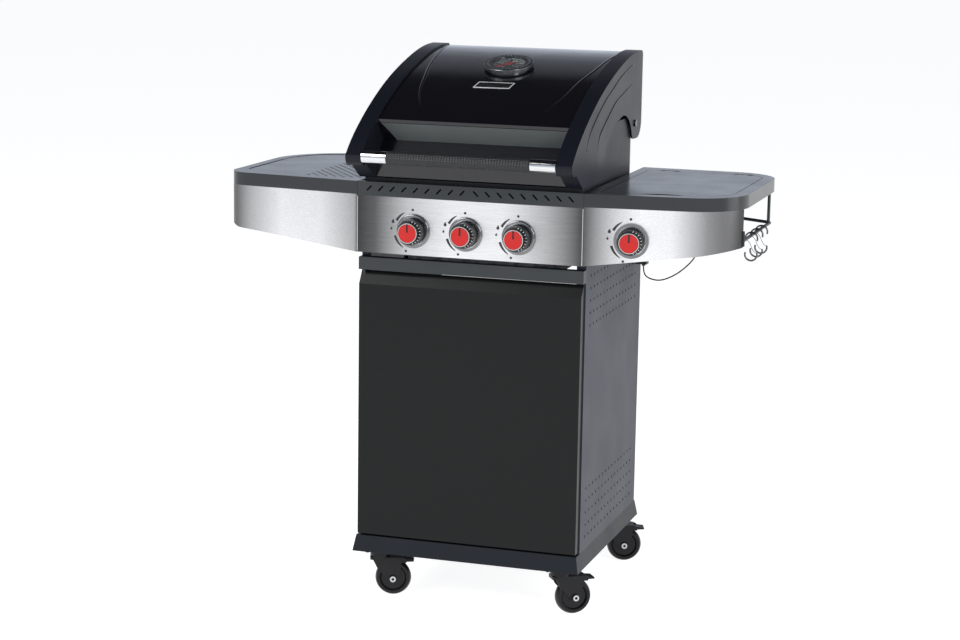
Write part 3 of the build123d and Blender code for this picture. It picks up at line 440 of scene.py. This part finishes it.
def smooth_route(corners, count):
    """Points along a Catmull-Rom curve through the corners."""
    padded = [corners[0], *corners, corners[-1]]
    route = []
    for step in range(count):
        where = step / (count - 1) * (len(corners) - 1)
        index = min(int(where), len(corners) - 2)
        t = where - index
        a, b, c, d = (Vector(point) for point in padded[index:index + 4])
        route.append(b + (c - a) * (t / 2) + (a * 2 - b * 5 + c * 4 - d) * (t * t / 2)
                     + (b * 3 - a - c * 3 + d) * (t ** 3 / 2))
    return route


# --- control knobs, in millimetres from the panel along the knob's axis ---------------------------
FACE_RADIUS = 18.6
FACE_SPAN = (38.6, 39.5)
RIM_SPAN = (37.5, 39.2)
TICK_SPAN = (26.9, 27.15)
PRINT_SPAN = (-0.05, 0.08)
NOTCH_HALF = 2.0                # half the notch's width, and its end above the knob's middle


def knob_face(number):
    """The red face of a knob with its dark pointer notch, and the white ticks around it."""
    turn = joints[f"knob_{number}_turn"]
    place = facing(turn["pos_m"], turn["axis"])
    body = f"knob_{number}"
    start = math.degrees(math.acos(NOTCH_HALF / FACE_RADIUS))
    angles = [math.radians(start - (180 + 2 * start) * step / 60) for step in range(61)]
    outline = [(FACE_RADIUS * math.cos(angle), FACE_RADIUS * math.sin(angle)) for angle in angles]
    outline += [(-NOTCH_HALF, NOTCH_HALF), (NOTCH_HALF, NOTCH_HALF)]
    plates(f"knob_face_{number}", [outline[::-1]], place, *FACE_SPAN, KNOB_RED, body)
    ring(f"knob_rim_{number}", circle(20.3), circle(19.2), place, *RIM_SPAN, CHROME, body)
    ticks = []
    for angle in range(-70, 90, 16):
        turn_out = math.radians(angle)
        inner, outer = [(size * math.cos(turn_out), size * math.sin(turn_out)) for size in (21.6, 24.6)]
        ticks.append(stroke([inner, outer], (1.1, 1.1)))
    plates(f"knob_ticks_{number}", ticks, place, *TICK_SPAN, WHITE_INK_AND_PAINTED_REFLECTION, body)


def knob_marks(number):
    """Printed marks around a knob: two dots, two tapering arcs, two small flames; and a dark gap ring of
    painted shade.
    """
    turn = joints[f"knob_{number}_turn"]
    place = facing(turn["pos_m"], turn["axis"])
    flame = [(0, -3), (1.7, -2.2), (2.2, -0.4), (1.2, 1.2), (1.3, 3.2), (-0.2, 2), (-1.7, 0.3), (-1.9, -1.8)]
    outlines = [
        circle(2.7, (-2, 43), 16),
        circle(2.6, (-16, -42), 16),
        arc(41.5, 118, 152, (1.4, 3.0, 4.2, 5.0, 5.4)),
        arc(41.5, 196, 238, (5.4, 5.0, 4.2, 3.0, 1.4)),
    ]
    for angle, size in ((158, 1.6), (176, 1.1)):
        middle = (48 * math.cos(math.radians(angle)), 48 * math.sin(math.radians(angle)))
        outlines.append([(middle[0] + u * size, middle[1] + v * size) for u, v in flame])
    plates(f"knob_marks_{number}", outlines, place, *PRINT_SPAN, BLACK_INK_AND_PAINTED_SHADE, "cart")
    # painted shade: a black ring on the panel stands for the shadow in the gap around the knob
    ring(f"knob_shadow_gap_{number}", circle(33.6), circle(31.4), place, -0.05, 0.1, BLACK_INK_AND_PAINTED_SHADE, "cart")


for knob_number in range(1, 5):
    knob_face(knob_number)
    knob_marks(knob_number)

# --- bright folded edges at both ends of the control panel ---------------------------------------
STRIP_HALF = 0.6
panel_low, panel_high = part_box("control_panel")
for side_name, x in (("left", panel_low[0] + 0.7 * MM), ("right", panel_high[0] - 0.7 * MM)):
    edge_place = facing((x, panel_low[1], (panel_low[2] + panel_high[2]) / 2), (0, -1, 0))
    tall = (panel_high[2] - panel_low[2]) / 2 / MM - 1.5
    strip = [(-STRIP_HALF, -tall), (STRIP_HALF, -tall), (STRIP_HALF, tall), (-STRIP_HALF, tall)]
    plates(f"panel_edge_{side_name}", [strip], edge_place, -0.3, 0.35, CHROME, "cart")


# --- hood: creases, badge plate, thermometer face -----------------------------------------------
skin_mesh = nodes["lid_skin"].data
skin_tree = BVHTree.FromPolygons([vertex.co for vertex in skin_mesh.vertices],
                                 [polygon.vertices for polygon in skin_mesh.polygons])


def on_skin(x, y):
    """The hood sheet's upper face at x, y: its point and normal."""
    point, normal, _, _ = skin_tree.ray_cast(Vector((x, y, 2.0)), Vector((0, 0, -1)))
    return point, normal


hood_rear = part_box("lid_skin")[1][1]
for side_name, side in (("left", -1), ("right", 1)):
    crease_route = smooth_route([
        (0.200, hood_rear - 0.030, 0), (0.190, hood_rear - 0.113, 0), (0.180, hood_rear - 0.203, 0),
        (0.167, hood_rear - 0.273, 0), (0.154, hood_rear - 0.343, 0), (0.134, hood_rear - 0.394, 0),
    ], 60)
    crease_stations = []
    for index, spot in enumerate(crease_route):
        skin_point, skin_normal = on_skin(side * spot.x, spot.y)
        fade = min(1.0, (len(crease_route) - 1 - index) / 24) + 0.02
        crease_stations.append((skin_point, skin_normal, 3.0 * MM * fade + 0.0004, 1.1 * MM * fade))
    bead(f"hood_crease_{side_name}", crease_stations, ENAMEL, "hood")

badge_point, badge_normal = on_skin(-0.006, hood_rear - 0.302)
badge_place = facing(badge_point, badge_normal)
badge_outline = [(-41, -14), (36, -14), (41, 14), (-36, 14)]
badge_inner = [(u * 0.965, v * 0.9) for u, v in badge_outline]
# painted reflection: the badge rim is white, standing in for the bright reflection on its metal frame
ring("badge_rim", badge_outline, badge_inner, badge_place, -1.0, 0.8, WHITE_INK_AND_PAINTED_REFLECTION, "hood")
plates("badge_plate", [badge_inner], badge_place, -1.0, 0.5, KNOB_BLACK, "hood")

needle_turn = joints["thermometer_needle_turn"]
dial_normal = -Vector(needle_turn["axis"])
dial_place = facing(needle_turn["pos_m"], dial_normal)
DIAL_FLOOR = 7.5                # millimetres from the hood sheet, as are the next two
GLASS_SPAN = (10.3, 11.2)
BEZEL_DOT_SPAN = (12.4, 12.6)
plates("dial_face", [circle(35.8, count=72)], dial_place, DIAL_FLOOR - 0.2, DIAL_FLOOR + 0.3, DIAL_GREY,
       "hood")
dial_ticks = []
for step in range(28):
    angle = math.radians(225 - step * 10)
    long_tick = step % 3 == 0
    reach = (25.0, 32.0) if long_tick else (28.5, 32.0)
    ends = [(size * math.cos(angle), size * math.sin(angle)) for size in reach]
    dial_ticks.append(stroke(ends, (1.1, 1.1) if long_tick else (0.6, 0.6)))
plates("dial_ticks", dial_ticks, dial_place, DIAL_FLOOR + 0.2, DIAL_FLOOR + 0.42, WHITE_INK_AND_PAINTED_REFLECTION, "hood")
hot_band = [arc(34.0, 20, -44, (1.5,) * 12)]
warm_band = [arc(34.0, 120, 24, (1.5,) * 14)]
plates("dial_hot_band", hot_band, dial_place, DIAL_FLOOR + 0.2, DIAL_FLOOR + 0.42, RED_INK, "hood")
plates("dial_warm_band", warm_band, dial_place, DIAL_FLOOR + 0.2, DIAL_FLOOR + 0.42, WHITE_INK_AND_PAINTED_REFLECTION, "hood")


def dial_number(text, angle):
    """A printed number on the thermometer's dial."""
    curve = bpy.data.curves.new(f"dial_number_{text}", "FONT")
    curve.body = text
    curve.size = 7.5
    curve.extrude = 0.06
    curve.align_x = "CENTER"
    curve.align_y = "CENTER"
    curve.materials.append(WHITE_INK_AND_PAINTED_REFLECTION.material)
    number = bpy.data.objects.new(f"dial_number_{text}", curve)
    bpy.context.scene.collection.objects.link(number)
    turn = math.radians(angle)
    spot = Vector((20 * math.cos(turn), 20 * math.sin(turn), DIAL_FLOOR + 0.36))
    number.matrix_world = dial_place @ Matrix.Translation(spot)
    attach(number, "hood")


for text, angle in (("50", 215), ("100", 165), ("150", 118), ("200", 62), ("250", 15), ("300", -35)):
    dial_number(text, angle)
plates("dial_glass", [circle(35.9, count=72)], dial_place, *GLASS_SPAN, GLASS, "hood")
bezel_dots = [circle(0.9, (44 * math.cos(turn), 44 * math.sin(turn)), 10)
              for turn in [2 * math.pi * step / 36 for step in range(36)]]
plates("bezel_dots", bezel_dots, dial_place, *BEZEL_DOT_SPAN, WHITE_INK_AND_PAINTED_REFLECTION, "hood")


# --- grey plate of the handle recess, tapering inwards below -------------------------------------
RECESS_TOP = Vector((0, cad_box[0][1] + 0.098, 1.0025))
RECESS_DROP = Vector((0, 0.033, -0.0375))
recess_place = facing(RECESS_TOP, RECESS_DROP.cross(Vector((1, 0, 0))))
recess_length = RECESS_DROP.length / MM
recess_outline = [(-198, 0), (-174, -recess_length), (174, -recess_length), (198, 0)]
plates("recess_plate", [recess_outline], recess_place, 0.0, 0.6, RECESS_COAT, "hood")


# --- hood end caps: two pressed creases on each side ---------------------------------------------
cap_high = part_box("lid_cap_right")[1]
CAP_CREASES = (
    [(0.077, 0.026), (0.178, 0.045), (0.254, 0.069), (0.299, 0.083), (0.366, 0.112), (0.421, 0.144),
     (0.443, 0.174)],
    [(0.084, 0.068), (0.174, 0.085), (0.225, 0.097), (0.285, 0.123), (0.342, 0.152), (0.362, 0.181)],
)
for side_name, side in (("left", -1), ("right", 1)):
    face_x = cap_high[0] if side > 0 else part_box("lid_cap_left")[0][0]
    for crease_number, crease in enumerate(CAP_CREASES, start=1):
        spots = smooth_route([(face_x, cap_high[1] - back, cap_high[2] - down) for back, down in crease], 40)
        cap_stations = []
        for index, spot in enumerate(spots):
            fade = min(1.0, (len(spots) - 1 - index) / 10, (index + 1) / 6) + 0.03
            cap_stations.append((spot, Vector((side, 0, 0)), 2.6 * MM, 1.3 * MM * fade))
        bead(f"cap_crease_{side_name}_{crease_number}", cap_stations, CAP_COAT, "hood")


# --- woven handle grip --------------------------------------------------------------------------
def woven_grip():
    """A sleeve with a raised diamond weave that stands for the plain CAD sleeve."""
    low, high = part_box("handle_grip")
    centre = (Vector(low) + Vector(high)) / 2
    radius = (high[2] - low[2]) / 2
    around, stations = 144, 360
    points, faces = [], []
    for station in range(stations + 1):
        x = low[0] + (high[0] - low[0]) * station / stations
        fade = min(1.0, station / 6, (stations - station) / 6)
        for step in range(around):
            angle = 2 * math.pi * step / around
            phase = (x - low[0]) / 0.0058 * math.pi
            weave = math.cos(12 * angle + phase) * math.cos(12 * angle - phase)
            size = radius - (0.55 - 0.5 * weave) * MM - (1 - fade) * 0.6 * MM
            points.append((x, centre[1] + size * math.cos(angle), centre[2] + size * math.sin(angle)))
    for end, x in ((0, low[0]), (1, high[0])):
        for step in range(around):
            angle = 2 * math.pi * step / around
            size = radius - 2.9 * MM
            points.append((x, centre[1] + size * math.cos(angle), centre[2] + size * math.sin(angle)))
    last = stations * around
    inner = [(stations + 1) * around, (stations + 2) * around]
    for step in range(around):
        after = (step + 1) % around
        for station in range(stations):
            row = station * around
            faces.append((row + step, row + around + step, row + around + after, row + after))
        faces.append((inner[0] + step, step, after, inner[0] + after))
        faces.append((last + step, inner[1] + step, inner[1] + after, last + after))
        faces.append((inner[1] + step, inner[0] + step, inner[0] + after, inner[1] + after))
    grip = add_piece("woven_grip", points, faces, GRIP_RUBBER, "hood", smooth=True)
    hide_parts("handle_grip")


woven_grip()

# --- left shelf: a field of pressed diagonal dashes ----------------------------------------------
shelf_low, shelf_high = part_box("left_shelf")
dash_place = facing((0, 0, shelf_high[2]), (0, 0, 1), (0, 1, 0))
dashes = []
field_left = shelf_low[0] / MM + 168
field_front = shelf_low[1] / MM + 60
for row in range(17):
    for column in range(7):
        shift = 9 if row % 2 else 0
        u = field_left + column * 19 + shift
        v = field_front + row * 13
        if u + 9 > shelf_high[0] / MM - 6:
            continue
        line = [(u, v + 6), (u + 3, v + 3), (u + 9, v - 3), (u + 12, v - 6)]
        dashes.append(stroke(line, (1.0, 2.4, 2.4, 1.0)))
plates("shelf_dashes", dashes, dash_place, -0.2, 0.55, SHELF_COAT, "cart")

# a low ridge runs inside the outer and rear edges of the left shelf
RIDGE_INSET = 0.024
REAR_CORNER = 0.160
corner_middle = Vector((shelf_low[0] + REAR_CORNER, shelf_high[1] - REAR_CORNER, shelf_high[2]))
ridge_radius = REAR_CORNER - RIDGE_INSET
ridge = [Vector((shelf_low[0] + RIDGE_INSET, shelf_low[1] + 0.1, shelf_high[2]))]
for angle in range(180, 85, -5):
    turn = math.radians(angle)
    ridge.append(corner_middle + Vector((math.cos(turn), math.sin(turn), 0)) * ridge_radius)
ridge.append(Vector((shelf_high[0] - 0.03, shelf_high[1] - RIDGE_INSET, shelf_high[2])))
bead("shelf_ridge", [(point, Vector((0, 0, 1)), 2.5 * MM, 0.8 * MM) for point in ridge], SHELF_COAT, "cart")


# --- castor screws with hexagon sockets ----------------------------------------------------------
def hexagon(flat):
    """Corners along a hexagon, ten degrees apart; flat is its radius across the flats."""
    corners = []
    for angle in range(0, 360, 10):
        radius = flat / math.cos(math.radians((angle % 60) - 30))
        corners.append((radius * math.cos(math.radians(angle)), radius * math.sin(math.radians(angle))))
    return corners


def socket_screws(castor):
    """Bright socket heads over both ends of a castor's axle."""
    roll = joints[f"wheel_{castor}_roll"]
    for side_name, side in (("a", 1), ("b", -1)):
        place = facing(roll["pos_m"], Vector(roll["axis"]) * side)
        ring(f"castor_screw_{side_name}_{castor}", circle(6.2, count=36), hexagon(2.9), place, 21.8, 23.4,
             SCREW_ZINC, f"castor_{castor}")


for castor_name in CASTORS:
    socket_screws(castor_name)

# --- ignition lead ------------------------------------------------------------------------------
LEAD_DIAMETER = 0.003
LEAD_ROUTE = [
    (0.2513, 0.2401, 0.672), (0.2513, 0.2401, 0.656), (0.2633, 0.2371, 0.645), (0.2903, 0.2311, 0.642),
    (0.3183, 0.2231, 0.654), (0.3443, 0.2131, 0.672), (0.3723, 0.1951, 0.700), (0.3923, 0.1681, 0.733),
    (0.4003, 0.1381, 0.770), (0.3983, 0.1161, 0.808), (0.3983, 0.1161, 0.846),
]
lead_curve = bpy.data.curves.new("ignition_lead", "CURVE")
lead_curve.dimensions = "3D"
lead_curve.bevel_depth = LEAD_DIAMETER / 2
lead_curve.bevel_resolution = 4
lead_curve.resolution_u = 16
lead_curve.use_fill_caps = True
lead_spline = lead_curve.splines.new("NURBS")
lead_spline.points.add(len(LEAD_ROUTE) - 1)
for point, spot in zip(lead_spline.points, LEAD_ROUTE):
    point.co = (*spot, 1.0)
lead_spline.order_u = 3
lead_spline.use_endpoint_u = True
lead_curve.materials.append(LEAD_SHEATH.material)
lead = bpy.data.objects.new("ignition_lead", lead_curve)
bpy.context.scene.collection.objects.link(lead)
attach(lead, "cart")
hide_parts("igniter_lead")

# --- studio -------------------------------------------------------------------------------------
floor_mesh = bpy.data.meshes.new("floor")
FLOOR_HALF = 60.0
floor_corners = [(-FLOOR_HALF, -FLOOR_HALF, 0), (FLOOR_HALF, -FLOOR_HALF, 0), (FLOOR_HALF, FLOOR_HALF, 0),
                 (-FLOOR_HALF, FLOOR_HALF, 0)]
floor_mesh.from_pydata(floor_corners, [], [(0, 1, 2, 3)])
floor_finish = Finish("studio_floor", (0.6, 0.6, 0.6), 1.0)
floor_finish.set("Specular IOR Level", 0.0)
floor_finish.set("Emission Color", (1.0, 1.0, 1.0, 1.0))
floor_finish.set("Emission Strength", 0.88)
floor_mesh.materials.append(floor_finish.material)
floor = bpy.data.objects.new("floor", floor_mesh)
bpy.context.scene.collection.objects.link(floor)

# the studio is bright near the horizon and dark overhead, so that gloss black stays black
world = bpy.data.worlds.new("studio")
world.use_nodes = True
world_tree = world.node_tree
direction = world_tree.nodes.new("ShaderNodeTexCoord").outputs["Generated"]
height = world_tree.nodes.new("ShaderNodeSeparateXYZ")
shade = world_tree.nodes.new("ShaderNodeValToRGB")
world_tree.links.new(direction, height.inputs[0])
world_tree.links.new(height.outputs["Z"], shade.inputs[0])
world_tree.links.new(shade.outputs[0], world_tree.nodes["Background"].inputs["Color"])
shade.color_ramp.elements[0].position = 0.12
shade.color_ramp.elements[0].color = (0.72, 0.78, 0.9, 1.0)
shade.color_ramp.elements[1].position = 0.62
shade.color_ramp.elements[1].color = (0.015, 0.015, 0.018, 1.0)
bpy.context.scene.world = world


def soft_light(name, place, target, size, power):
    """A square area light that looks at the target."""
    lamp = bpy.data.lights.new(name, "AREA")
    lamp.shape = "RECTANGLE"
    lamp.size, lamp.size_y = size
    lamp.energy = power
    light = bpy.data.objects.new(name, lamp)
    light.location = place
    direction = Vector(target) - Vector(place)
    light.rotation_euler = direction.to_track_quat("-Z", "Y").to_euler()
    bpy.context.scene.collection.objects.link(light)


soft_light("key", (-2.6, -3.4, 3.6), (0, 0, 0.7), (2.4, 2.4), 190)
soft_light("fill", (3.4, -2.6, 2.6), (0, 0, 0.6), (1.8, 2.2), 90)
soft_light("side", (4.2, 0.6, 1.4), (0, 0.2, 0.5), (2.0, 2.2), 38)

# --- camera -------------------------------------------------------------------------------------
camera_data = bpy.data.cameras.new("camera")
camera_data.lens = 86.16
camera_data.sensor_width = 36.0
camera = bpy.data.objects.new("camera", camera_data)
azimuth, elevation, roll = (math.radians(angle) for angle in (17.768, 10.66, 0.924))
aim = (Matrix.Rotation(azimuth, 4, "Z") @ Matrix.Rotation(math.pi / 2 - elevation, 4, "X")
       @ Matrix.Rotation(roll, 4, "Z"))
camera.matrix_world = Matrix.Translation((1.4213, -4.5713, 1.4752)) @ aim
bpy.context.scene.collection.objects.link(camera)
bpy.context.scene.camera = camera
bpy.context.scene.view_settings.view_transform = "Standard"
